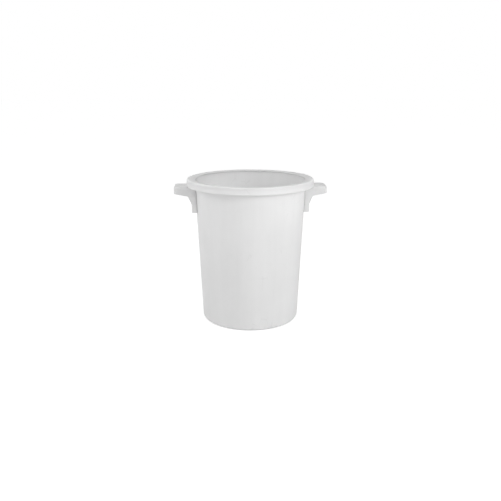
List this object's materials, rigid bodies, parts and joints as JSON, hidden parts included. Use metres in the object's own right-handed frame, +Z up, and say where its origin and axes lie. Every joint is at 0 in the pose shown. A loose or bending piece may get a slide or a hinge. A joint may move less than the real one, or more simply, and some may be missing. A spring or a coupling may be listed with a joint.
{
  "type": "open round tub with two side handles",
  "caption": "Open-topped round plastic tub of about 70 litres, slightly tapered, with a down-turned rim hoop pressed over its mouth and a bolted bracket handle on each side.",
  "frame": {"origin": "centre of the base, on the plane the foot ring stands on", "axes": "+Z up out of the open mouth, +X towards the right handle, +Y towards the back; handles lie on X"},
  "size_m": [0.598, 0.5, 0.57],
  "materials": {
    "shell_plastic": "satin natural white polyethylene",
    "rim_plastic": "satin white polyethylene",
    "handle_plastic": "satin white polyethylene",
    "nylon": "satin natural nylon",
    "seal_rubber": "matt pale grey rubber"
  },
  "bodies": {
    "root": {"tub_shell": "shell_plastic", "rim_hoop": "rim_plastic", "right_handle": "handle_plastic", "right_handle_bolts": "nylon", "right_handle_seals": "seal_rubber", "right_handle_nuts": "nylon", "left_handle": "handle_plastic", "left_handle_bolts": "nylon", "left_handle_seals": "seal_rubber", "left_handle_nuts": "nylon"}
  },
  "joints": []
}
